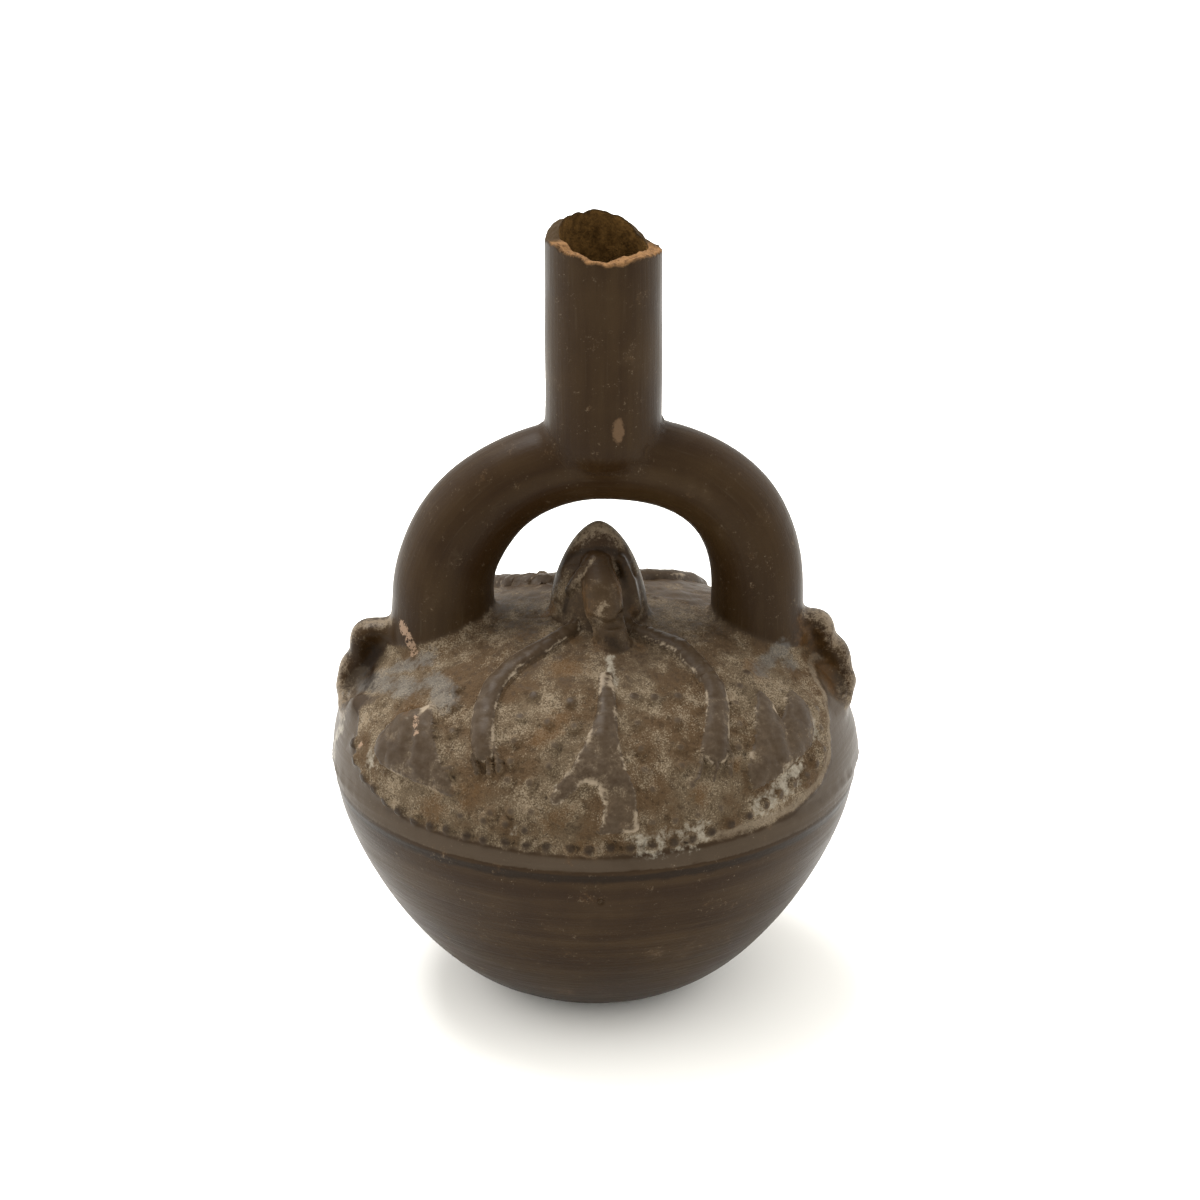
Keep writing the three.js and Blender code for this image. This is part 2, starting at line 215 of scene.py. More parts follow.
STIRRUP = stirrup_line()
STIRRUP_LENGTH = np.append(0, np.cumsum(np.linalg.norm(np.diff(STIRRUP, axis=0), axis=1)))


def off_stirrup(points):
    gap, place = near_line(points, STIRRUP)
    pieces = np.arange(len(STIRRUP))
    x, z = (np.interp(place, pieces, STIRRUP[:, axis]) for axis in (0, 1))
    leg = np.where(x < ARCH_OFFSET, LEFT_LEG_RADIUS, RIGHT_LEG_RADIUS)
    climb = ease(z, SPRING_HEIGHT, CROWN_HEIGHT) ** 2
    share = np.clip(np.abs(x) / (SHOULDER_RADIUS * (1 + DOME_BROADENING)), 0, 1)
    shoulder = BAND_TOP + DOME_RISE * (1 - share**DOME_ROUNDNESS) ** (1 / DOME_ROUNDNESS)
    flare = FOOT_FLARE * np.exp(-np.maximum(z - shoulder, 0) / FOOT_FLARE_HEIGHT)
    waist = LEFT_WAIST * np.exp(-(((z - LEFT_WAIST_HEIGHT) / LEFT_WAIST_REACH) ** 2)) * (x < 0)
    radius = leg + (CROWN_RADIUS - leg) * climb + flare - waist
    return np.column_stack([gap, radius, np.interp(place, pieces, STIRRUP_LENGTH)])


stirrup_at = table((-85, 58), (85, 190), 1.0, off_stirrup)


def stirrup(points):
    """The distance from the tube's surface, the gap to its middle in the arch's plane, the length."""
    x, y, z = points.T
    gap, radius, length = stirrup_at(x, z).T
    return np.hypot(gap, y) - radius, gap, length


# The spout: a plain tube that grows out of the crown. Its rim broke off in antiquity on a slant,
# low at the front and right, and the break shows the rough tan core of the clay.
SPOUT_OFFSET, SPOUT_RADIUS, SPOUT_WALL = 2.3, 16.3, 4.0
SPOUT_ROOT_DEPTH, SPOUT_ROOT_RISE = 8.5, 11.0
RIM_ANGLES = [-180, -169, -159, -120, -89, -52, -39, -26, -13, 3, 11, 26, 43, 64, 89, 119, 132,
              148, 161, 170, 180]
RIM_HEIGHTS = [226.4, 227.4, 227.1, 226.6, 225.2, 223.7, 222.2, 221.6, 220.2, 219.7, 220.6, 221.7,
               221.5, 221.2, 220.6, 221.4, 221.8, 224.7, 226.2, 226.3, 226.4]
SLANT_ANGLES = [-180, -95, -50, -5, 25, 80, 120, 180]
SLANTS = [-0.6, -0.45, 0.15, 0.3, -0.15, -0.2, -0.55, -0.6]


def spout_radius(height):
    start = CROWN_HEIGHT - SPOUT_ROOT_DEPTH
    root = np.sqrt(CROWN_RADIUS**2 - SPOUT_ROOT_DEPTH**2)
    grown = np.sin(np.pi / 2 * ease(height, start, CROWN_HEIGHT + SPOUT_ROOT_RISE))
    return root + (SPOUT_RADIUS - root) * grown


def break_height(points):
    """How high the break is at each point: its line round the rim, and its slant across the wall."""
    x, y = points[:, 0] - SPOUT_OFFSET, points[:, 1]
    angle = np.degrees(np.arctan2(x, -y))
    flat = points * (1, 1, 0)
    slope = np.interp(angle, SLANT_ANGLES, SLANTS) + 0.2 * lumps(flat, 7, 3)
    slant = slope * (np.hypot(x, y) - SPOUT_RADIUS + 3)
    rim = np.interp(angle, RIM_ANGLES, RIM_HEIGHTS)
    return rim + slant + 0.5 * lumps(flat, 2.6, 4) + 0.3 * lumps(flat, 1.1, 5)


def spout(points):
    x, y, z = points.T
    side = np.hypot(x - SPOUT_OFFSET, y) - spout_radius(z)
    side = np.maximum(side, CROWN_HEIGHT - SPOUT_ROOT_DEPTH - z)
    return cut(side, break_height(points) - z, 0.7)


# The head: a small pointed hood pinched up from the top of the shoulder, with an animal's long
# snout that slopes down to the chin under a brow. It is worn, so its features are blunt.
HOOD_MIDDLE, HOOD_SIZE, HOOD_ROUNDNESS = (1.0, -7.0, DOME_TOP), (14.0, 13.0, 27.5), 1.7
MUZZLE_LINE = np.array([[0.5, -14.5, 132.5], [1.8, -19.5, 127.0], [2.6, -22.5, 122.5]])
CHIN_LINE = np.array([[3.6, -24.0, 119.0], [5.0, -25.5, 114.5]])
MOUTH_LINE = np.array([[-1.4, -26.8, 121.4], [3.2, -29.0, 120.0], [7.4, -26.8, 120.2]])
CHEEK_LINE = np.array([[-0.5, -15.4, 134.8], [-4.0, -15.8, 130.6], [-7.3, -15.4, 125.3]])
FLANK_LINE = np.array([[7.4, -13.2, 133.5], [9.6, -13.4, 127.0], [11.2, -14.2, 119.5]])
BROW_LINE = np.array([[-8.5, -12.0, 133.5], [-3.5, -15.4, 137.0], [1.0, -15.8, 138.0],
                      [5.5, -15.0, 136.4], [9.5, -11.5, 132.0]])


def ball(points, middle, size, roundness):
    """The distance from a ball that is squarer than a sphere over 2 and more pointed under 2."""
    spot = np.maximum(np.abs((points - middle) / size), 1e-3)
    reach = np.sum(spot**roundness, axis=1) ** (1 / roundness)
    slope = np.linalg.norm((spot / reach[:, None]) ** (roundness - 1) / size, axis=1)
    return (reach - 1) / slope


def rod(points, line, radii):
    gap, place = near_line(points, line)
    return gap - np.interp(place, np.arange(len(line)), radii)


def head(points):
    hood = ball(points, HOOD_MIDDLE, HOOD_SIZE, HOOD_ROUNDNESS)
    face = cut(hood, rod(points, BROW_LINE - (0, 1.2, 3.2), [1.8, 3.0, 3.6, 3.0, 1.8]), 1.8)
    face = joined(face, rod(points, CHEEK_LINE, [0.9, 1.5, 1.1]), 1.4)
    face = joined(face, rod(points, FLANK_LINE, [1.2, 1.8, 1.8]), 2.0)
    muzzle = rod(points, MUZZLE_LINE, [4.2, 5.6, 5.4])
    chin = rod(points, CHIN_LINE, [4.6, 4.6])
    snout = joined(muzzle, chin, 0.8)
    snout = cut(snout, rod(points, MOUTH_LINE, [1.1, 1.5, 1.3]), 0.6)
    snout = cut(snout, ball(points, (7.6, -26.0, 121.5), (1.6, 3.0, 1.6), 2), 0.8)
    face = joined(face, snout, 1.5)
    return cut(face, ball(points, (9.6, -19.6, 122.0), (1.9, 2.6, 3.0), 2), 1.2)


# The lugs: beside each of the stirrup's feet, an ear of clay with two lobes, pinched flat and
# dished at the front inside a rounded rim that curls forward at its foot.
LOBES = {
    -1: [(62.5, 102.5, 8.0, 7.5), (64.5, 90.5, 9.8, 11.0)],
    1: [(61.5, 104.5, 7.5, 8.5), (64.0, 94.0, 10.0, 12.0)],
}
LIPS = {
    -1: np.array([[-71.0, -3, 90], [-70.5, -9, 88], [-66.5, -17, 90.5], [-60.0, -23.5, 94.0]]),
    1: np.array([[72.0, -3, 92], [70.5, -8, 89], [66.5, -13, 89], [62.0, -18, 93]]),
}
LUG_THICKNESS, LUG_RIM, LUG_HOLLOW_DEPTH = 12.0, 2.4, 2.8


def lug(points, side):
    plate, dish = [], []
    forward = LUG_THICKNESS - LUG_HOLLOW_DEPTH
    for reach, height, half_width, half_height in LOBES[side]:
        middle = np.array([side * reach, 0, height])
        size = np.array([half_width, LUG_THICKNESS / 2, half_height])
        plate.append(ball(points, middle, size, 2.6))
        dish.append(ball(points, middle - (0, forward, 0), size - (LUG_RIM, 0, LUG_RIM), 2.4))
    plate = joined(plate[0], plate[1], 2.0)
    plate = joined(plate, rod(points, LIPS[side], [3.0, 3.2, 3.0, 1.6]), 3.0)
    return cut(plate, joined(dish[0], dish[1], 5.0), 2.4)


# The relief: the mould pressed a figure into the shoulder, front and back, now worn. It has two
# arms with hands, two wings, and a forked tail down the middle. Each point is angle, height.
ARMS = [
    [(-17, 114.0, 2.4), (-25, 112.3, 3.0), (-32.5, 109.6, 3.4), (-33.4, 105.6, 3.5),
     (-31.3, 101.5, 3.6), (-28.6, 97.3, 3.7), (-26.3, 94.0, 3.4)],
    [(21, 114.3, 2.4), (34, 113.2, 3.0), (41.8, 111.2, 3.6), (40.4, 108.0, 3.4),
     (39.4, 105.2, 3.5), (36.4, 102.5, 3.6), (32.0, 98.3, 3.9), (28.7, 93.8, 4.4)],
]
FINGERS = [
    [(-29.5, 96), (-28.6, 92.5), (-26.6, 88.9)],
    [(-26.5, 95), (-24.6, 92.2), (-23.6, 89.6)],
    [(-24.8, 95.5), (-22.6, 93.0), (-21.4, 90.6)],
    [(32.0, 95), (32.2, 91.5), (30.6, 88.3)],
    [(28.6, 94), (27.9, 90.5), (26.6, 87.6)],
    [(25.6, 94), (24.2, 91.2), (22.6, 88.9)],
]
WINGS = [
    [(-48.8, 99.5), (-46.4, 100.2), (-42.3, 97.1), (-35.8, 90.3), (-29.8, 83.9), (-30.4, 81.8),
     (-37.0, 82.6), (-43.1, 83.0), (-52.0, 83.5), (-55.9, 85.9), (-57.0, 89.7), (-54.3, 95.9)],
    [(51.6, 103.1), (47.0, 100.5), (43.1, 97.8), (36.8, 91.0), (34.6, 88.1), (34.8, 82.0),
     (46.4, 84.9), (55.8, 87.2), (59.6, 90.2), (62.4, 95.1), (61.6, 99.6), (56.5, 98.6),
     (51.6, 96.0), (52.6, 100.4)],
]
WING_VALLEYS = [[(-48.0, 99.0), (-47.2, 94.0), (-44.5, 88.5)], [(51.3, 97.5), (50.2, 93.5), (48.0, 89.5)]]
TAIL = [
    (1.2, 109.6), (0.0, 103.1), (-2.5, 98.5), (-5.3, 93.4), (-9.9, 86.8), (-9.9, 83.8), (-7.6, 83.2),
    (-4.9, 86.0), (-2.2, 88.9), (0.2, 88.2), (1.3, 84.5), (1.1, 80.4), (-0.6, 76.2), (9.3, 76.4),
    (9.1, 87.5), (7.5, 92.2), (6.3, 98.4), (6.9, 105.6), (6.9, 109.4),
]
RECESS = [(-9.5, 82.0), (-5.0, 83.6), (-1.5, 85.0), (-0.4, 81.0), (-3.0, 77.0), (-9.5, 76.5)]
ARM_HEIGHT, WING_HEIGHT, TAIL_HEIGHT, RECESS_DEPTH = 2.6, 2.5, 2.2, 1.1
PANEL_ANGLES = [0, 36, 46, 56, 63, 67, 72, 78, 90]
PANEL_FOOT = [70.5, 71.7, 72.7, 76.2, 80.6, 86.8, 91.4, 96.0, 99.0]


def near_path(points, path):
    path = np.array(path, float)
    gap, place = near_line(points, on_shoulder(path[:, 0], path[:, 1]))
    return gap, place, path


def within(points, shape):
    """How far inside a shape on the shoulder each point is, below zero outside it."""
    corners = np.array([*shape, shape[0]], float)
    finely = np.arange(0, len(corners) - 1 + 1e-6, 0.2)
    loop = np.column_stack([np.interp(finely, np.arange(len(corners)), part) for part in corners.T])
    angle, height = bearing(points), points[:, 2]
    near = (angle > loop[:, 0].min() - 3) & (angle < loop[:, 0].max() + 3)
    near = np.flatnonzero(near & (height > loop[:, 1].min() - 3) & (height < loop[:, 1].max() + 3))
    depth = np.full(len(points), -9.0)
    gap, _ = near_line(points[near], on_shoulder(loop[:, 0], loop[:, 1]))
    angle, height = angle[near], height[near]
    inside = np.zeros(len(near), bool)
    for (a, low), (b, high) in zip(loop[:-1], loop[1:]):
        if low != high:
            crossed = (height < low) != (height < high)
            inside ^= crossed & (angle < a + (height - low) / (high - low) * (b - a))
    depth[near] = np.where(inside, gap, -gap)
    return depth


def panel_depth(points):
    """How far above the panel's lower edge each point of the shoulder is, front or back."""
    angle = np.abs(bearing(points))
    angle = np.minimum(angle, 180 - angle)
    return points[:, 2] - np.interp(angle, PANEL_ANGLES, PANEL_FOOT)


def figure(points, is_front):
    """How much the relief stands off the shoulder."""
    raised = np.zeros(len(points))
    for arm in ARMS:
        gap, place, path = near_path(points, arm)
        share = np.clip(1 - (gap / np.interp(place, np.arange(len(path)), path[:, 2])) ** 2, 0, 1)
        raised = np.maximum(raised, ARM_HEIGHT * share**0.5)
    for finger in FINGERS if is_front else FINGERS[1::3]:
        gap = near_path(points, finger)[0]
        raised = np.maximum(raised, 0.75 * ARM_HEIGHT * (1 - ease(gap, 0.5, 1.35)))
    for wing, valley in zip(WINGS, WING_VALLEYS):
        inside = within(points, wing)
        groove = 0.8 * np.exp(-((near_path(points, valley)[0] / 1.5) ** 2))
        plate = WING_HEIGHT * (0.75 * ease(inside, -0.5, 0.9) + 0.25 * ease(inside, 0, 5))
        raised = np.maximum(raised, plate - groove)
    inside = within(points, TAIL)
    raised = np.maximum(raised, TAIL_HEIGHT * (0.65 * ease(inside, -0.6, 1.1) + 0.35 * ease(inside, 0, 4)))
    if is_front:
        raised -= RECESS_DEPTH * ease(within(points, RECESS), -0.8, 1.2)
    return raised


def pressed(points):
    """How much the figure stands off the shoulder, on the front and again on the back."""
    raised = np.zeros(len(points))
    foot = below(points)
    shoulder = (foot[:, 2] > BAND_TOP - 4) & (foot[:, 2] < DOME_TOP + 1)
    front = foot[:, 1] < 0
    for half, turn in ((front, (1, 1, 1)), (~front, (-1, -1, 1))):
        chosen = np.flatnonzero(shoulder & half)
        if len(chosen):
            raised[chosen] = figure(foot[chosen] * turn, turn[0] > 0)
    return raised


def relief(points):
    foot = below(points)
    panel = ease(panel_depth(foot), -1.2, 2.0) * (foot[:, 2] > BAND_TOP - 4) * (foot[:, 2] < DOME_TOP + 1)
    rough = 0.35 * panel * (1 + 0.9 * lumps(foot, 1.9, 11) + 0.9 * lumps(foot, 5, 12))
    return pressed(points) + rough


# The whole skin of the bottle: every form joined as wet clay is, with the potter's slow unevenness
# left in the walls, and inside it one hollow that runs up both legs to the spout's mouth.
STIRRUP_FILLET, SPOUT_FILLET, LUG_FILLET, HEAD_FILLET = 3.0, 2.2, 3.0, 3.5


def skin(points, is_dressed=True):
    body = vessel(points)[0]
    body = body - 0.3 * lumps(points, 26, 1) * (points[:, 2] > 8)
    if is_dressed:
        body = body - relief(points)
    handle = stirrup(points)[0] - 0.25 * lumps(points, 17, 2)
    form = joined(body, handle, STIRRUP_FILLET)
    form = joined(form, spout(points) - 0.2 * lumps(points, 15, 6), SPOUT_FILLET)
    high = points[:, 2] > 70
    rest = points[high]
    lugs = np.minimum(lug(rest, -1), lug(rest, 1))
    form[high] = joined(form[high], lugs, LUG_FILLET)
    form[high] = joined(form[high], head(rest), HEAD_FILLET)
    pit = np.linalg.norm(points - PIT, axis=1) - PIT_RADIUS
    return cut(form, pit, 0.4) if is_dressed else form


def hollow(points):
    x, y, z = points.T
    bore = np.hypot(x - SPOUT_OFFSET, y) - (SPOUT_RADIUS - SPOUT_WALL)
    bore = bore + 0.25 * lumps(points, 4, 8) + 0.12 * lumps(points, 1.6, 9)
    bore = np.maximum(bore, np.maximum(CROWN_HEIGHT - z, z - 236))
    tube = stirrup(points)[0] + STIRRUP_WALL
    return joined(np.minimum(vessel(points)[0] + WALL, tube), bore, 2.5)


def rough_skin(form, low, high, step):
    """A coarse net of triangles over the places where a form's surface passes a grid."""
    lines = [np.arange(a, b + step, step) for a, b in zip(low, high)]
    grid = np.stack(np.meshgrid(*lines, indexing="ij"), -1).reshape(-1, 3)
    value = np.concatenate([form(part) for part in np.array_split(grid, 12)])
    inside = (value < 0).reshape([len(line) for line in lines])
    count = sum(
        inside[tuple(slice(c, n - 1 + c) for c, n in zip(corner, inside.shape))].astype(int)
        for corner in np.ndindex(2, 2, 2)
    )
    passed = (count > 0) & (count < 8)
    number = np.full(passed.shape, -1)
    number[passed] = np.arange(passed.sum())
    places = (np.argwhere(passed) + 0.5) * step + low
    faces = []
    for axis in range(3):
        moved = np.moveaxis(inside, (axis, (axis + 1) % 3, (axis + 2) % 3), (0, 1, 2))
        cells = np.moveaxis(number, (axis, (axis + 1) % 3, (axis + 2) % 3), (0, 1, 2))
        along, a, b = np.nonzero(moved[:-1] != moved[1:])
        whole = (a > 0) & (b > 0) & (a < cells.shape[1]) & (b < cells.shape[2])
        along, a, b = along[whole], a[whole], b[whole]
        ring = [cells[along, a - 1, b - 1], cells[along, a, b - 1], cells[along, a, b],
                cells[along, a - 1, b]]
        quads = np.stack(ring, -1)
        turned = ~moved[along, a, b]
        quads[turned] = quads[turned][:, ::-1]
        faces += [quads[:, [0, 1, 2]], quads[:, [0, 2, 3]]]
    return places, np.vstack(faces)


def onto(form, places, rounds):
    """Moves each place onto the form's surface, along its slope."""
    step = 0.05
    for _ in range(rounds):
        value = form(places)
        slope = np.stack([(form(places + d) - value) / step for d in np.eye(3) * step], -1)
        size = np.maximum(np.sum(slope**2, axis=1), 0.2)
        move = (value / size)[:, None] * slope
        reach = np.linalg.norm(move, axis=1, keepdims=True)
        places = places - move * np.minimum(1, 1.2 / np.maximum(reach, 1e-9))
    return places


def edges_of(faces):
    sides = np.sort(faces[:, [[0, 1], [1, 2], [2, 0]]].reshape(-1, 2), axis=1)
    return np.unique(sides, axis=0, return_inverse=True)


def evened(places, faces, share):
    """Moves each place part of the way to the middle of its neighbours."""
    edges, _ = edges_of(faces)
    ends = np.concatenate([edges, edges[:, ::-1]])
    count = np.bincount(ends[:, 0], minlength=len(places))[:, None]
    total = np.column_stack([
        np.bincount(ends[:, 0], places[ends[:, 1], axis], len(places)) for axis in range(3)
    ])
    return places + share * (total / np.maximum(count, 1) - places)


def split(places, faces, wanted):
    """Splits in two each edge that is longer than is wanted where it lies."""
    edges, side = edges_of(faces)
    middle = places[edges].mean(axis=1)
    length = np.linalg.norm(places[edges[:, 0]] - places[edges[:, 1]], axis=1)
    long = length > 1.35 * wanted(middle)
    number = np.where(long, len(places) + np.cumsum(long) - 1, -1)[side.reshape(-1, 3)]
    count = (number >= 0).sum(axis=1)
    turn = np.where(count == 1, np.argmax(number >= 0, axis=1), (np.argmin(number, axis=1) + 1) % 3)
    order = (np.arange(3) + np.where(count % 3, turn, 0)[:, None]) % 3
    faces, number = (np.take_along_axis(part, order, 1) for part in (faces, number))
    (a, b, c), (ab, bc, ca) = faces.T, number.T
    kept, one, two, three = (count == n for n in range(4))
    made = [
        (kept, (a, b, c)),
        (one, (a, ab, c)), (one, (ab, b, c)),
        (two, (ab, b, bc)), (two, (a, ab, bc)), (two, (a, bc, c)),
        (three, (a, ab, ca)), (three, (ab, b, bc)), (three, (ca, bc, c)), (three, (ab, bc, ca)),
    ]
    pieces = [np.stack([corner[chosen] for corner in corners], -1) for chosen, corners in made]
    return np.vstack([places, middle[long]]), np.vstack(pieces)


def wanted_edge(points):
    """Fine triangles where the surface has detail, and larger ones on the plain walls."""
    x, y, z = points.T
    angle = np.abs(bearing(points))
    wanted = np.full(len(points), 2.6)
    on_dome = (z > 69.5) & (z < DOME_TOP + 3)
    wanted[on_dome & (panel_depth(points) > -2) & (y > 0)] = 1.4
    wanted[on_dome & (panel_depth(points) > -2) & (y < 0) & (angle < 76)] = 0.7
    wanted[(np.abs(z - RIDGE_HEIGHT) < 2.4) & (angle > 80)] = 1.4
    wanted[(np.abs(z - RIDGE_HEIGHT) < 2.4) & (angle < 80)] = 0.8
    wanted[(np.abs(x) > 52) & (z > 78) & (z < 116) & (np.abs(y) < 11)] = 1.2
    wanted[(np.abs(x - 2) < 16) & (z > 108) & (z < 146) & (y < 8)] = 0.7
    wanted[z > 217] = 0.7
    wanted[np.linalg.norm(points - (1.7, -74, 57), axis=1) < 3] = 0.4
    return wanted


def skinned(form, plain, low, high, step, wanted):
    places, faces = rough_skin(plain, low, high, step)
    for _ in range(4):
        places = onto(plain, evened(places, faces, 0.6), 1)
    for _ in range(3):
        places, faces = split(places, faces, wanted)
        places = onto(plain, evened(places, faces, 0.3), 1)
    places = onto(form, evened(places, faces, 0.3), 3)
    return places, faces


def object_of(name, places, faces):
    mesh = bpy.data.meshes.new(name)
    mesh.from_pydata((places / 1000).tolist(), [], faces.tolist())
    made = bpy.data.objects.new(name, mesh)
    bpy.context.collection.objects.link(made)
    return made


def plain_copy(made, name):
    """The object with its modifiers worked out, as a plain mesh. The old one is removed."""
    made_now = made.evaluated_get(bpy.context.evaluated_depsgraph_get())
    mesh = bpy.data.meshes.new_from_object(made_now)
    copy = bpy.data.objects.new(name, mesh)
    bpy.context.collection.objects.link(copy)
    bpy.data.objects.remove(made)
    return copy


outside = object_of("outside", *skinned(
    skin, lambda p: skin(p, False), (-84, -80, -4), (84, 80, 234), 2.5, wanted_edge))
inside = object_of("inside", *skinned(
    hollow, hollow, (-78, -74, 0), (78, 74, 242), 4.0,
    lambda p: np.where(p[:, 2] > 185, 1.1, np.where(p[:, 2] > 160, 2.2, 6.0))))
emptied = outside.modifiers.new("emptied", "BOOLEAN")
emptied.operation, emptied.solver, emptied.object = "DIFFERENCE", "MANIFOLD", inside
outside.modifiers.new("triangles", "TRIANGULATE")
clay = plain_copy(outside, "clay")
bpy.data.objects.remove(inside)

# The pellets: small round pats of clay in rows, along the panel's lower border and between the
# arms and the tail. They are moulded with the rest, so each is a low swelling of the same skin.
PELLET_ROWS = [
    [(-66, 84), (-60, 79.5), (-54, 76.5), (-48, 74.3), (-40, 73), (-30, 72.6), (-20, 72.4),
     (-9.8, 72), (-2.2, 71.8), (3.6, 71.7), (8.2, 72.1), (12.7, 72.3), (18.1, 73.1),
     (22.8, 74.4), (26.9, 75.4), (31.1, 76.4), (36.3, 77.6), (39.7, 78.8), (45.4, 80.2),
     (49.7, 81.2), (54.1, 82.8), (58.4, 84.2), (61.4, 87.3), (64.3, 93.5)],
    [(11.7, 79.6), (16.3, 79), (20.5, 79.4), (26.6, 80.3)],
    [(-22, 80.5), (-17, 81.6), (-13.3, 82.2)],
    [(-14, 77.2), (-20, 77.8), (-28, 78.4)],
    [(-36.9, 96.5), (-35.0, 92.6), (-33.2, 88.8)],
    [(-44.5, 103.8), (-40.8, 101.2)],
    [(54.3, 104.7), (48.6, 104.0), (42.8, 102.3), (40.3, 99.7), (37.5, 96.6), (35.1, 93.3)],
    [(-19.0, 105.4), (-13.2, 105.2), (-7.4, 105.0)],
    [(-20.5, 101.4), (-15.4, 101.2), (-10.4, 101.0), (-5.4, 100.8)],
    [(-19.6, 97.2), (-14.8, 97.0), (-10.0, 96.8)],
    [(-19.4, 93.0), (-14.4, 92.8), (-10.0, 92.6)],
    [(-19.0, 88.8), (-14.2, 88.5)],
    [(12.0, 105.6), (18.6, 105.2), (25.2, 104.8)],
    [(11.4, 101.0), (16.8, 100.8), (22.2, 100.6)],
    [(11.2, 96.4), (16.0, 96.2), (20.8, 96.0)],
    [(11.4, 91.8), (15.8, 91.6), (20.0, 91.4)],
    [(12.4, 87.4), (16.6, 87.2), (20.8, 87.0)],
]


def row_curve():
    curve = bpy.data.curves.new("pellet_rows", "CURVE")
    curve.dimensions = "3D"
    for side in (1, -1):
        for row in PELLET_ROWS[:1] + PELLET_ROWS[6:] if side < 0 else PELLET_ROWS:
            row = np.array(row, float)
            places = on_shoulder(row[:, 0], row[:, 1]) * (side, side, 1) / 1000
            line = curve.splines.new("POLY")
            line.points.add(len(places) - 1)
            for point, place in zip(line.points, places):
                point.co = (*place, 1)
    made = bpy.data.objects.new("pellet_rows", curve)
    bpy.context.collection.objects.link(made)
    return made


class Wire:
    """A node's output. Sums written with wires add Math nodes to their tree."""

    def __init__(self, tree, socket):
        self.tree, self.socket = tree, socket

    def math(self, operation, first, second=0.0):
        return self.tree.node("ShaderNodeMath", {"operation": operation}, {0: first, 1: second})

    def __add__(self, other):
        return self.math("ADD", self, other)

    def __sub__(self, other):
        return self.math("SUBTRACT", self, other)

    def __rsub__(self, other):
        return self.math("SUBTRACT", other, self)

    def __mul__(self, other):
        return self.math("MULTIPLY", self, other)

    def __truediv__(self, other):
        return self.math("DIVIDE", self, other)

    __radd__, __rmul__ = __add__, __mul__

    def least(self, other):
        return self.math("MINIMUM", self, other)

    def most(self, other):
        return self.math("MAXIMUM", self, other)

    def eased(self, start, end):
        """0 at the start, 1 at the end, and smooth between them."""
        settings = {"interpolation_type": "SMOOTHSTEP"}
        return self.tree.node("ShaderNodeMapRange", settings, {0: self, 1: start, 2: end, 3: 0.0, 4: 1.0})


class Tree:
    """Adds nodes to a node tree."""

    def __init__(self, tree):
        self.tree = tree

    def node(self, kind, settings=None, values=None, output=0):
        made = self.tree.nodes.new(kind)
        for name, value in (settings or {}).items():
            setattr(made, name, value)
        for name, value in (values or {}).items():
            if isinstance(value, Wire):
                self.tree.links.new(value.socket, made.inputs[name])
            else:
                made.inputs[name].default_value = value
        return Wire(self, made.outputs[output])

    def mixed(self, first, second, share):
        """Two colours mixed."""
        return self.node("ShaderNodeMix", {"data_type": "RGBA"}, {0: share, 6: first, 7: second}, output=2)


def pellet_tree():
    group = bpy.data.node_groups.new("pellets", "GeometryNodeTree")
    sizes = {
        "Rows": ("NodeSocketObject", None), "Pitch": ("NodeSocketFloat", 0.0056),
        "Radius": ("NodeSocketFloat", 0.0021), "Height": ("NodeSocketFloat", 0.0012),
        "Wander": ("NodeSocketFloat", 0.0004), "Seed": ("NodeSocketInt", 7),
        "Clay": ("NodeSocketMaterial", None),
    }
    group.interface.new_socket("Skin", in_out="INPUT", socket_type="NodeSocketGeometry")
    group.interface.new_socket("Skin", in_out="OUTPUT", socket_type="NodeSocketGeometry")
    for name, (kind, value) in sizes.items():
        socket = group.interface.new_socket(name, in_out="INPUT", socket_type=kind)
        if value is not None:
            socket.default_value = value
    tree = Tree(group)
    source = group.nodes.new("NodeGroupInput")
    given = {socket.name: Wire(tree, socket) for socket in source.outputs}
    rows = tree.node("GeometryNodeObjectInfo", {}, {"Object": given["Rows"]}, output="Geometry")
    spaced = tree.node("GeometryNodeResampleCurve", {"mode": "LENGTH"},
                       {"Curve": rows, "Length": given["Pitch"]})
    spots = tree.node("GeometryNodeCurveToPoints", {"mode": "EVALUATED"}, {"Curve": spaced})
    low = tree.node("ShaderNodeCombineXYZ", {}, {axis: given["Wander"] * -1 for axis in "XYZ"})
    high = tree.node("ShaderNodeCombineXYZ", {}, {axis: given["Wander"] for axis in "XYZ"})
    stray = tree.node("FunctionNodeRandomValue", {"data_type": "FLOAT_VECTOR"},
                      {"Min": low, "Max": high, "Seed": given["Seed"]})
    spots = tree.node("GeometryNodeSetPosition", {}, {"Geometry": spots, "Offset": stray})
    onto_skin = tree.node("GeometryNodeProximity", {"target_element": "FACES"},
                          {0: given["Skin"]}, output="Position")
    spots = tree.node("GeometryNodeSetPosition", {}, {"Geometry": spots, "Position": onto_skin})
    gap = tree.node("GeometryNodeProximity", {"target_element": "POINTS"}, {0: spots}, output="Distance")
    share = 1 - (gap / given["Radius"]).eased(0.45, 1.1)
    normal = tree.node("GeometryNodeInputNormal")
    rise = tree.node("ShaderNodeVectorMath", {"operation": "SCALE"},
                     {0: normal, "Scale": share * given["Height"]})
    raised = tree.node("GeometryNodeSetPosition", {}, {"Geometry": given["Skin"], "Offset": rise})
    marked = tree.node("GeometryNodeStoreNamedAttribute", {"data_type": "FLOAT", "domain": "POINT"},
                       {"Geometry": raised, "Name": "pellet", "Value": share})
    real = tree.node("GeometryNodeRealizeInstances", {}, {"Geometry": marked})
    fired = tree.node("GeometryNodeSetMaterial", {}, {"Geometry": real, "Material": given["Clay"]})
    group.links.new(fired.socket, group.nodes.new("NodeGroupOutput").inputs[0])
    return group


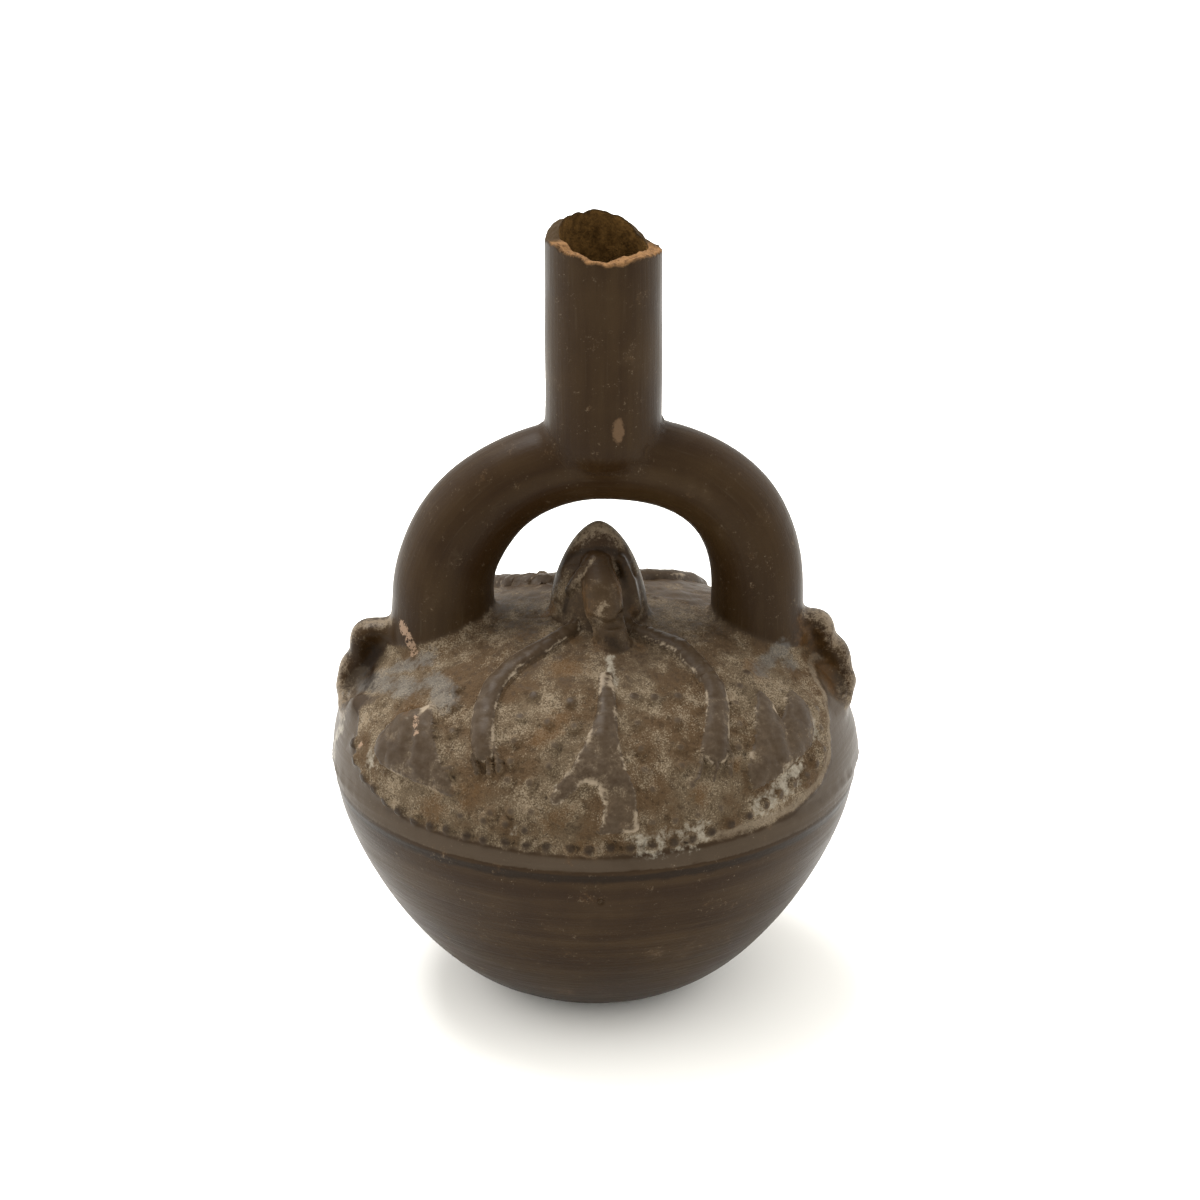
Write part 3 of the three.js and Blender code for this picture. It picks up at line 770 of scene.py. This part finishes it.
# The finish: smoke-fired black clay, burnished in strokes to a soft sheen. Grey-tan burial earth
# and orange-brown stains lie in the relief, pale lime round the pellets, and the break is bare.
# Some marks are painted light: painted shade under the ridge, in creases and in the head's hollows,
# and painted highlights on the band, the relief's edges, the lug rims and the hood's cap.
# Each mark is a radius and the spots it runs through: angle and height, or x, y and z.
STAINS = {
    "ochre": [
        (7, (-27, 84)), (6, (-8, 79)), (5, (-3, 74)), (6, (-36, 77)), (5, (6, 112.8)),
        (6, (-12, 110)), (5, (-53, 97)), (5, (-44, 113)), (5, (60, 105)), (4, (22, 84)),
        (3, (-24, 92)), (3, (33, 89)), (4, (-14, 98), (-9, 102)),
        (2.2, (9.7, -18.1, 122.3), (10.7, -15.1, 118.3)), (3.4, (-5.6, -23.5, 113.7)),
        (2.6, (-12.2, -9.9, 118.0), (-13.9, -9.1, 115.5)), (3.2, (12.6, -26.6, 112.5)),
        (3.4, (-4.5, -22, 128), (-1, -24, 124)), (3, (5.5, -18.5, 130), (6.6, -21.5, 126)),
        (6, (60, -5, 108), (66, -6, 96), (68, -8, 92)),
    ],
    "lime": [
        (5, (9, 73), (16, 73.5), (22, 75)), (5, (37, 79), (50, 83)), (4, (60, 90)), (4, (-57, 83)),
        (5, (-74.5, -15, 85), (-75.5, -12, 74)), (3, (-17, 76)), (3, (-50, 95)),
        (2, (7, 112), (6.5, 108)), (3, (42, 108)), (2, (-8, 88)),
    ],
    "ash": [
        (6, (-65, -9, 93), (-60.9, -15.7, 96.5), (-51.8, -28.1, 101.5), (-44.7, -28.8, 103.8),
         (-40.1, -38.6, 102.1)),
        (5, (-56.7, -14.5, 101.2), (-47.9, -19.0, 105.0)),
        (4, (53.5, -12.6, 105.8), (50.1, -15.2, 105.5), (46.5, -24.3, 104.9)), (5, (55.2, -15.3, 102.4)),
    ],
    "soot_and_shade": [
        # Dark marks along the snout's sides, under the brow, in the mouth and under the chin are painted
        # shade; the last mark, low on the left lug, is real soot.
        (2.4, (-5.5, -20, 128.0), (-6.2, -22, 122.5)), (2.0, (0.5, -17.0, 134.0), (3.0, -18.5, 131.0)),
        (2.0, (7.5, -13.5, 133.0), (8.6, -15.5, 127.0)),
        (1.5, (-9.4, -8, 130.0), (-6.0, -11.4, 134.6), (-3.0, -13, 136.2), (0.8, -13.8, 137.0),
         (4.6, -13.2, 136.4), (7.7, -11.8, 134.2), (9.0, -12.0, 129)),
        (1.5, (-1.4, -27.0, 121.3), (3.2, -29.2, 120.0), (7.2, -27.2, 120.2), (8.0, -22, 123.5)),
        (3, (4.6, -29.6, 116.5), (6.0, -29.0, 113.5)),
        (1.4, (-4.5, -14.5, 133.0), (-7.8, -15.5, 125.9), (-8.6, -15.2, 119)),
        (3.6, (-63.5, -4, 101.0), (-64.7, -7, 96.4), (-62, -17, 93.0)),
    ],
    "bare_and_highlight": [
        # Pale marks on the lug rims, the hood's cap and flank, the cheek and the snout: partly worn bare
        # clay, partly painted highlight where these raised places would catch the light.
        (3.2, (-58.0, -2.7, 110.8), (-65.0, -1.5, 110.0), (-70.0, -1.0, 105.0)),
        (5, (-73.0, -1.5, 97.0), (-75.0, -2.5, 91.0), (-72, -11, 87.0)),
        (4.6, (61.0, -1.4, 113.6), (67.0, -2.5, 111.5), (70.0, -2.5, 105.3)),
        (5, (73.5, -2.0, 99.0), (75.5, -1.6, 94), (72, -8.3, 88.5)),
        (4.4, (-5.5, -8.0, 138.0), (-2.5, -9.5, 141.0), (0.8, -9.0, 143.0), (4.4, -8.8, 141.4),
         (7.4, -7.5, 138.0)),
        (2.2, (8.6, -6.6, 136.5), (11.2, -8.6, 130.5), (13.3, -7.0, 124.7)),
        (1.0, (-0.3, -17.3, 135.7), (-3.0, -18.9, 132.4), (-6.0, -17.0, 127.1)),
        (1.2, (3.0, -26.6, 125.4), (0.8, -27.4, 123.6)),
    ],
    "scrape": [
        (1.8, (-54.6, -10.0, 112.3), (-52.8, -12.4, 109.5), (-51.5, -14.0, 106.1)),
        (1.2, (-49.4, -41.6, 97.9), (-49.1, -45.9, 94.9)), (1.2, (-66.0, -31.4, 84.9)),
    ],
}
SCAR, SCAR_SIZE = (6.4, -15.8, 172.7), (1.9, 5, 4.2)


def write(mesh, name, values):
    kind = "FLOAT" if values.ndim == 1 else "FLOAT_VECTOR"
    layer = mesh.attributes.new(name, kind, "POINT")
    layer.data.foreach_set("value" if values.ndim == 1 else "vector", values.astype(np.float32).ravel())


def hollows(places, faces):
    """Above zero in hollows and below zero on edges, from how the skin bends."""
    bend = evened(places, faces, 1.0) - places
    corners = places[faces]
    normal = np.cross(corners[:, 1] - corners[:, 0], corners[:, 2] - corners[:, 0])
    at = np.column_stack([
        sum(np.bincount(faces[:, k], normal[:, axis], len(places)) for k in range(3))
        for axis in range(3)
    ])
    at /= np.maximum(np.linalg.norm(at, axis=1, keepdims=True), 1e-9)
    edges, _ = edges_of(faces)
    length = np.linalg.norm(places[edges[:, 0]] - places[edges[:, 1]], axis=1)
    ends = np.concatenate([edges[:, 0], edges[:, 1]])
    count = np.maximum(np.bincount(ends, minlength=len(places)), 1)
    mean = np.bincount(ends, np.tile(length, 2), len(places)) / count
    return np.sum(bend * at, axis=1) / np.maximum(mean, 1e-3) ** 2


def age(made):
    """Writes where the earth, stains, wear, breaks, burnishing strokes, painted shade and painted highlights
    lie.
    """
    mesh = made.data
    places = np.empty(len(mesh.vertices) * 3)
    mesh.vertices.foreach_get("co", places)
    places = places.reshape(-1, 3) * 1000
    faces = np.empty(len(mesh.loops), int)
    mesh.loops.foreach_get("vertex_index", faces)
    faces = faces.reshape(-1, 3)
    x, y, z = places.T
    body, length = vessel(places)
    handle, gap, along = stirrup(places)
    tip = np.hypot(x - SPOUT_OFFSET, y) - spout_radius(z)
    tip[z < CROWN_HEIGHT] = 99
    empty = 1 - ease(hollow(places), 0.15, 0.6)
    on_body = 1 - ease(body, 2.2, 4.5)
    depth = panel_depth(places)
    front = ease(-y, -30, 10)
    earth = on_body * ease(depth, -1.4, 2.2) * (0.55 + 0.45 * front) * (1 - 0.45 * ease(z, 101, 112))
    raised = pressed(places)
    smooth = ease(raised, 0.5, 1.2)
    on_head = 1 - ease(head(places), 0.3, 1.5)
    earth = np.maximum(earth * (1 - on_head), on_head * (0.15 + 0.25 * ease(-z, -136, -122)))
    on_lug = 1 - ease(np.minimum(lug(places, -1), lug(places, 1)), 0.2, 1.4)
    earth = earth * (1 - 0.85 * on_lug)
    pellet = np.empty(len(places))
    mesh.attributes["pellet"].data.foreach_get("value", pellet)
    bend = hollows(places, faces)
    bend = evened(np.column_stack([bend, bend, bend]), faces, 0.7)[:, 0]
    spots = {"empty": empty, "earth": earth * (1 - empty), "smooth": np.maximum(smooth * on_body, pellet),
             "bend": np.clip(bend, -1, 1)}
    for name, stains in STAINS.items():
        spots[name] = np.zeros(len(places))
        for radius, *line in stains:
            line = [on_shoulder(*spot) if len(spot) == 2 else np.array(spot) for spot in line]
            away, _ = near_line(places, [*line, line[-1]])
            spots[name] = np.maximum(spots[name], np.exp(-((away / radius) ** 2)))
    spots["scar"] = np.exp(-((((places - SCAR) / SCAR_SIZE) ** 2).sum(axis=1)))
    spots["broken"] = ease(z - break_height(places), -0.75, -0.25) * (z > 212)
    turn = np.degrees(np.arctan2(x - SPOUT_OFFSET, -y))
    spots["fresh"] = spots["broken"] * ease(turn, -75, -58) * (1 - ease(turn, 88, 110))
    spots["tops"] = pellet * (0.4 + 0.6 * (1 - ease(depth, 4, 9)))
    # Painted highlight: pale along the flanks of the raised figure, where its edges would catch the light.
    spots["brink_highlight"] = on_body * np.exp(-(((raised - 1.3) / 0.6) ** 2)) * ease(depth, 0, 2)
    # Painted highlight: the band between the ridge and the panel is paler, as if lit from above.
    spots["band_highlight"] = on_body * ease(z, RIDGE_HEIGHT - 0.3, RIDGE_HEIGHT + 0.5) * (1 - ease(depth, -1.4, 0.4))
    # Painted shade: a dark line just under the ridge, where its lip overhangs the bowl.
    spots["ridge_shade"] = on_body * np.exp(-(((z - RIDGE_HEIGHT + 2.1) / 1.3) ** 2))
    spots["strip"] = on_body * np.exp(-(((depth - 1.8) / 1.8) ** 2)) * ease(x, 2, 30) * front
    for name, values in spots.items():
        write(mesh, name, values)
    slow, fast = 0.05, 1.0
    strokes = np.column_stack([x * slow, y * slow, length * fast])
    tube = np.column_stack([along * slow, y * fast, gap * fast])
    pipe = np.column_stack([z * slow, x * fast, y * fast])
    nearest = np.argmin(np.abs(np.column_stack([body, handle, tip])), axis=1)
    write(mesh, "strokes", np.where((nearest == 0)[:, None], strokes,
                                    np.where((nearest == 1)[:, None], tube, pipe)))


def blackware():
    material = bpy.data.materials.new("blackware")
    material.use_nodes = True
    tree = Tree(material.node_tree)
    shader = material.node_tree.nodes["Principled BSDF"]

    def mark(name):
        return tree.node("ShaderNodeAttribute", {"attribute_name": name}, output="Fac")

    def grains(size, detail=2.0, roughness=0.5, at=None, seed=0.0):
        values = {"Vector": at or millimetres, "Scale": 1 / size, "Detail": detail,
                  "Roughness": roughness, "W": seed}
        return tree.node("ShaderNodeTexNoise", {"noise_dimensions": "4D"}, values, output=0)

    def patchy(amount, fine, broad, start, end):
        """A mark whose edge is broken up by fine and by broad unevenness."""
        return (amount + (dust - 0.5) * fine + (patches - 0.5) * broad).eased(start, end)

    where = tree.node("ShaderNodeTexCoord", output="Object")
    millimetres = tree.node("ShaderNodeVectorMath", {"operation": "SCALE"}, {0: where, "Scale": 1000.0})
    strokes = tree.node("ShaderNodeAttribute", {"attribute_name": "strokes"}, output="Vector")
    earth, smooth, bend, pellet = mark("earth"), mark("smooth"), mark("bend"), mark("pellet")
    clouds, patches = grains(22, 3), grains(6, 4, seed=3)
    dust, grit = grains(1.4, 4, 0.6, seed=5), grains(0.45, 2, 0.6, seed=9)
    stroke = grains(1.1, 3, 0.6, at=strokes)
    wide_stroke = grains(4, 2, at=strokes, seed=2)

    dark, warm = (0.0143, 0.0064, 0.0017, 1), (0.0265, 0.0146, 0.0053, 1)
    clay = tree.mixed(dark, warm, (clouds * 0.6 + wide_stroke * 0.5).eased(0.35, 0.75))
    clay = tree.mixed(clay, (0.0544, 0.039, 0.0235, 1), (stroke - 0.5).eased(0.05, 0.35) * 0.35)
    cloudy = (patches * 0.6 + clouds * 0.6 - 0.6).eased(0.08, 0.25)
    clay = tree.mixed(clay, (0.0476, 0.0313, 0.017, 1), cloudy * 0.35)
    # Painted shade: a dark line just under the ridge's overhanging lip.
    ridge_shade = (mark("ridge_shade") + (patches - 0.5) * 0.8).eased(0.2, 0.75)
    clay = tree.mixed(clay, (0.00816, 0.00408, 0.00136, 1), ridge_shade * 0.9)
    # Painted highlight: the upward-facing band above the ridge is lightened, as light from above would.
    band_highlight = (mark("band_highlight") + (patches - 0.5) * 1.2).eased(0.3, 1.0)
    clay = tree.mixed(clay, (0.0578, 0.0435, 0.0306, 1), band_highlight * 0.6)
    clay = tree.mixed(clay, (0.0578, 0.0422, 0.0286, 1), earth * (0.6 + (dust - 0.5) * 1.4))

    worn = patchy(smooth, 0.9, 0.9, 0.2, 0.95)
    cover = patchy(earth * 1.3 + bend * 0.4 - worn * 0.8, 1.1, 0.9, 0.3, 1.05)
    soil = tree.mixed((0.062, 0.043, 0.025, 1), (0.122, 0.09, 0.056, 1),
                      (grit * 0.7 + patches * 0.5).eased(0.4, 0.8))
    reddish = (patches * -0.9 + clouds * 1.2).eased(0.04, 0.34)
    soil = tree.mixed(soil, (0.054, 0.028, 0.0105, 1), reddish * 0.65)
    colour = tree.mixed(clay, soil, cover * 0.9)
    pitted = (0.5 - dust).eased(0.02, 0.13) * cover
    colour = tree.mixed(colour, (0.017, 0.0098, 0.0045, 1), pitted * 0.42)
    grained = (grit + patches * 0.9 - 0.95).eased(0.05, 0.16) * cover
    colour = tree.mixed(colour, (0.24, 0.192, 0.135, 1), grained * 0.45)

    layers = [
        (mark("strip"), 1.2, 0.8, 0.35, 1.0, (0.15, 0.119, 0.085, 1), 0.6),
        (mark("ochre") * 0.9, 1.2, 2.4, 0.3, 1.15, (0.064, 0.031, 0.0095, 1), 0.7),
        (mark("ash"), 1.4, 1.4, 0.45, 1.1, (0.085, 0.083, 0.0782, 1), 0.55),
        # Partly worn bare clay, partly painted highlight on raised rims and the hood's cap.
        (mark("bare_and_highlight") + (grit - 0.5) * 1.6, 2.2, 1.2, 0.3, 1.2, (0.15, 0.115, 0.078, 1), 0.75),
        # Painted shade in the head's hollows, and real soot on the left lug.
        (mark("soot_and_shade"), 2.0, 1.2, 0.3, 1.1, (0.00952, 0.00544, 0.00272, 1), 0.8),
        (mark("lime") - pellet * 0.9, 1.8, 1.4, 0.5, 1.2, (0.272, 0.245, 0.197, 1), 0.8),
    ]
    for amount, fine, broad, start, end, stain, strength in layers:
        colour = tree.mixed(colour, stain, patchy(amount, fine, broad, start, end) * strength)
    scraped = mark("scrape") * (1 + (dust - 0.5) * 5 + (grit - 0.5) * 3)
    colour = tree.mixed(colour, (0.245, 0.163, 0.109, 1), scraped.eased(0.45, 0.8) * 0.7)
    scarred = (mark("scar") + (dust - 0.5) * 0.7).eased(0.35, 0.6)
    colour = tree.mixed(colour, (0.0884, 0.053, 0.0286, 1), scarred * 0.8)

    # Painted highlight: pale along the raised figure's edges, where light would catch them.
    brink_highlight = patchy(mark("brink_highlight"), 1.6, 3.0, 0.6, 1.2)
    colour = tree.mixed(colour, (0.22, 0.175, 0.125, 1), brink_highlight * mark("brink_highlight") * 0.9)
    # In the creases of the earthy relief: pale patches of real crust, and dark patches that are painted
    # shade.
    crust_and_shade = tree.mixed((0.0122, 0.00748, 0.0034, 1), (0.177, 0.136, 0.0952, 1),
                       (patches - 0.5).eased(0.02, 0.12))
    crease_dirt_and_shade = (bend * 2.2 + (dust - 0.5) * 1.0).eased(0.25, 0.85) * (earth * 1.4).least(1.0)
    colour = tree.mixed(colour, crust_and_shade, crease_dirt_and_shade * 0.8)
    tops = mark("tops").eased(0.2, 0.75) * (0.9 + (dust - 0.5) * 1.5).least(1.0)
    colour = tree.mixed(colour, (0.0204, 0.0129, 0.00748, 1), tops)
    lumen = tree.mixed((0.034, 0.0163, 0.0034, 1), (0.129, 0.068, 0.019, 1),
                       (dust * 0.6 + patches * 0.5).eased(0.35, 0.75))
    colour = tree.mixed(colour, lumen, mark("empty"))
    core = tree.mixed((0.045, 0.022, 0.009, 1), (0.17, 0.09, 0.038, 1),
                      (dust * 0.9 + grit * 0.4).eased(0.42, 0.76))
    broken = mark("broken")
    colour = tree.mixed(colour, (0.034, 0.021, 0.01, 1), broken)
    colour = tree.mixed(colour, core, mark("fresh"))
    flecks = tree.node("ShaderNodeTexVoronoi", {}, {"Vector": millimetres, "Scale": 0.42}, output="Distance")
    fleck = (1 - flecks.eased(0.04, 0.09)) * (dust - 0.5).eased(0.0, 0.1)
    colour = tree.mixed(colour, (0.136, 0.109, 0.0782, 1), fleck * 0.5)
    tree.tree.links.new(colour.socket, shader.inputs["Base Color"])

    rough = (0.4 + (stroke - 0.5) * 0.3 + (clouds - 0.5) * 0.2) + cover * 0.32
    rough = rough + broken * 0.5 + mark("empty") * 0.45
    tree.tree.links.new(rough.least(0.95).most(0.25).socket, shader.inputs["Roughness"])

    relief_height = (dust - 0.5) * (cover * 3.0 + 0.18) + (grit - 0.5) * (cover * 1.2 + 0.1)
    relief_height = relief_height + (patches - 0.5) * cover * 2.5
    relief_height = relief_height + (stroke - 0.5) * (1 - cover) * 0.28
    relief_height = relief_height + (broken + mark("empty")).least(1.0) * ((dust - 0.5) * 2.0 + (grit - 0.5))
    bump = tree.node("ShaderNodeBump", {}, {"Strength": 1.0, "Distance": 0.0003, "Height": relief_height})
    tree.tree.links.new(bump.socket, shader.inputs["Normal"])
    shader.inputs["Specular IOR Level"].default_value = 0.07
    return material


fired_clay = blackware()
rows = row_curve()
pellets = clay.modifiers.new("pellets", "NODES")
pellets.node_group = pellet_tree()
for socket in pellets.node_group.interface.items_tree:
    if socket.in_out == "INPUT" and socket.name in ("Rows", "Clay"):
        pellets[socket.identifier] = rows if socket.name == "Rows" else fired_clay
jar = plain_copy(clay, "jar_body")
bpy.data.objects.remove(rows)
age(jar)
jar.data.shade_smooth()
jar.data.set_sharp_from_angle(angle=np.radians(48))
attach(jar, "root")
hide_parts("jar")

# The floor, the light and the view: a white table under broad soft lights, seen from the front
# and a little above.
FLOOR_REACH = 9000.0
floor = object_of("floor", np.array([[-1, -1, 0], [1, -1, 0], [1, 1, 0], [-1, 1, 0]]) * FLOOR_REACH,
                  np.array([[0, 1, 2], [0, 2, 3]]))
paper = bpy.data.materials.new("paper")
paper.use_nodes = True
paper.node_tree.nodes["Principled BSDF"].inputs["Base Color"].default_value = (0.93, 0.925, 0.9, 1)
paper.node_tree.nodes["Principled BSDF"].inputs["Roughness"].default_value = 0.9
paper.node_tree.nodes["Principled BSDF"].inputs["Specular IOR Level"].default_value = 0.0
floor.data.materials.append(paper)

sky = bpy.data.worlds.new("sky")
sky.use_nodes = True
sky.node_tree.nodes["Background"].inputs["Color"].default_value = (1.0, 0.985, 0.94, 1)
sky.node_tree.nodes["Background"].inputs["Strength"].default_value = 1.45
bpy.context.scene.world = sky
bpy.context.scene.view_settings.view_transform = "Standard"


def softbox(name, place, turn, size, power):
    lamp = bpy.data.lights.new(name, "AREA")
    lamp.shape, lamp.size, lamp.size_y, lamp.energy = "RECTANGLE", *size, power
    made = bpy.data.objects.new(name, lamp)
    made.location, made.rotation_euler = place, np.radians(turn)
    bpy.context.collection.objects.link(made)


softbox("light_above", (-0.3, 0.35, 1.3), (-16, -14, 0), (0.8, 0.8), 27)
softbox("light_left", (-1.2, 0.2, 0.5), (0, -72, 0), (1.3, 1.4), 9)
softbox("light_right", (1.2, 0.4, 0.5), (0, 72, 0), (1.3, 1.4), 8)

CAMERA_FOCUS = 3400 / 1200
camera = bpy.data.objects.new("camera", bpy.data.cameras.new("camera"))
camera.data.sensor_width = 36
camera.data.lens = 36 * CAMERA_FOCUS
camera.location = (0.0014, -0.898, 0.488)
camera.rotation_euler = (np.radians(90 - 22.5), 0, 0)
bpy.context.collection.objects.link(camera)
bpy.context.scene.camera = camera
